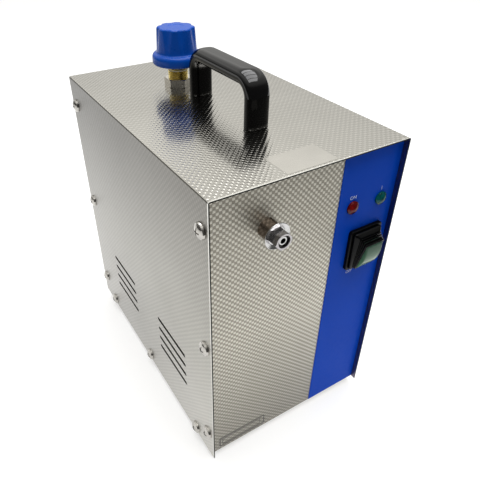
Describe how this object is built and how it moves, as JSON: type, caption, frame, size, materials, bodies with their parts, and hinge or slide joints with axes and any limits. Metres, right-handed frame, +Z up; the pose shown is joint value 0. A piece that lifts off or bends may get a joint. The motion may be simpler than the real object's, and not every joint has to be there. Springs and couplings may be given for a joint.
{
  "type": "jewelry steam cleaner",
  "caption": "Table-top steam cleaner for jewellery: folded steel case with a carrying handle, screwed filler cap, front steam nozzle, rocker switch and lamps over an inner boiler.",
  "frame": {"origin": "on the surface the feet stand on, midway between the nozzle's tip and the drain's hose tail, midway between the side walls", "axes": "+X to the right seen from the front, +Y towards the rear, +Z up; the nozzle and switch face -Y"},
  "size_m": [0.2086, 0.3724, 0.3875],
  "materials": {
    "stainless": "fine embossed check pattern, satin",
    "steel_plain": "satin",
    "strip_blue": "smooth satin foil",
    "knob_blue": "satin moulded",
    "black_gloss": "glossy",
    "black_matte": "fine moulded texture",
    "rubber_black": "matt",
    "gasket_white": "matt silicone",
    "brass": "turned",
    "copper": "drawn copper tube",
    "nickel": "nickel plated",
    "nozzle_metal": "bright turned",
    "nozzle_dark": "dark plated",
    "lamp_red": "translucent lens",
    "lamp_green": "translucent lens",
    "lens_green": "translucent lens",
    "insulation": "glass-fibre felt",
    "white_plastic": "moulded",
    "wire_insulation": "silicone sleeve"
  },
  "bodies": {
    "case": {"cover": "stainless", "front_panel": "stainless", "rear_panel": "stainless", "base_pan": "steel_plain", "control_overlay": "strip_blue", "cover_screws": "nickel", "clinch_nuts": "steel_plain", "base_screws": "nickel", "m5_nuts": "steel_plain", "stand_bolts": "steel_plain", "rubber_feet": "rubber_black", "handle": "black_gloss", "handle_screws": "steel_plain", "filler_neck": "brass", "filler_nuts": "nickel", "boiler_tank": "steel_plain", "boiler_stand": "steel_plain", "insulation_jacket": "insulation", "heater_flange": "brass", "heating_element": "steel_plain", "thermostats": "black_matte", "pressure_switch": "black_matte", "steam_pipe": "copper", "outlet_pipe": "copper", "drain_pipe": "copper", "pipe_nuts": "brass", "lock_nuts": "nickel", "solenoid_body": "brass", "solenoid_tube": "steel_plain", "solenoid_spring": "steel_plain", "solenoid_coil": "black_matte", "nozzle_stem": "nozzle_metal", "nozzle_front_nut": "nozzle_dark", "nozzle_disc": "nozzle_metal", "nozzle_sleeve": "nozzle_metal", "red_lamp": "lamp_red", "green_lamp": "lamp_green", "lamp_housings": "black_matte", "switch_bezel": "black_matte", "switch_boot": "rubber_black", "switch_housing": "black_matte", "drain_valve_body": "brass", "drain_hose_tail": "brass", "power_inlet": "black_matte", "inlet_pins": "nickel", "pedal_socket": "nickel", "terminal_block": "white_plastic", "wiring": "wire_insulation"},
    "filler_gasket": {"cap_gasket": "gasket_white"},
    "cap_travel": {"relief_spring": "steel_plain"},
    "cap": {"cap_knob": "knob_blue", "cap_plug": "brass", "relief_retainer": "brass"},
    "relief_valve": {"relief_poppet": "brass"},
    "rocker": {"rocker_lens": "lens_green", "rocker_core": "black_matte"},
    "valve_plunger": {"solenoid_plunger": "steel_plain"},
    "drain_handle": {"drain_ball": "nickel", "drain_stem": "brass", "drain_lever": "nickel"}
  },
  "joints": [
    {"name": "cap_lift_off", "type": "slide", "parent": "case", "child": "filler_gasket", "axis": [0, 0, 1], "range_m": [0, 0.09]},
    {"name": "cap_rise", "type": "slide", "parent": "filler_gasket", "child": "cap_travel", "axis": [0, 0, 1], "range_m": [0, 0.00726]},
    {"name": "cap_turn", "type": "hinge", "parent": "cap_travel", "child": "cap", "pos_m": [-0.007, 0.0566, 0.34], "axis": [0, 0, 1], "range_deg": [0, 1440]},
    {"name": "relief_lift", "type": "slide", "parent": "cap_travel", "child": "relief_valve", "axis": [0, 0, 1], "range_m": [0, 0.002], "stiffness_N_per_m": 500, "springref_m": -0.004, "deforming": ["relief_spring"]},
    {"name": "power_rocker", "type": "hinge", "parent": "case", "child": "rocker", "pos_m": [0.0691, -0.1595, 0.223], "axis": [-1, 0, 0], "range_deg": [0, 30]},
    {"name": "valve_lift", "type": "slide", "parent": "case", "child": "valve_plunger", "axis": [0, 0, 1], "range_m": [0, 0.0025], "stiffness_N_per_m": 300, "springref_m": -0.005, "deforming": ["solenoid_spring"]},
    {"name": "drain_turn", "type": "hinge", "parent": "case", "child": "drain_handle", "pos_m": [0.034, 0.1592, 0.056], "axis": [0, 0, -1], "range_deg": [0, 90]}
  ],
  "couplings": [
    {"joint": "cap_turn", "follows": "cap_rise", "rad_per_m": 3463.7}
  ]
}
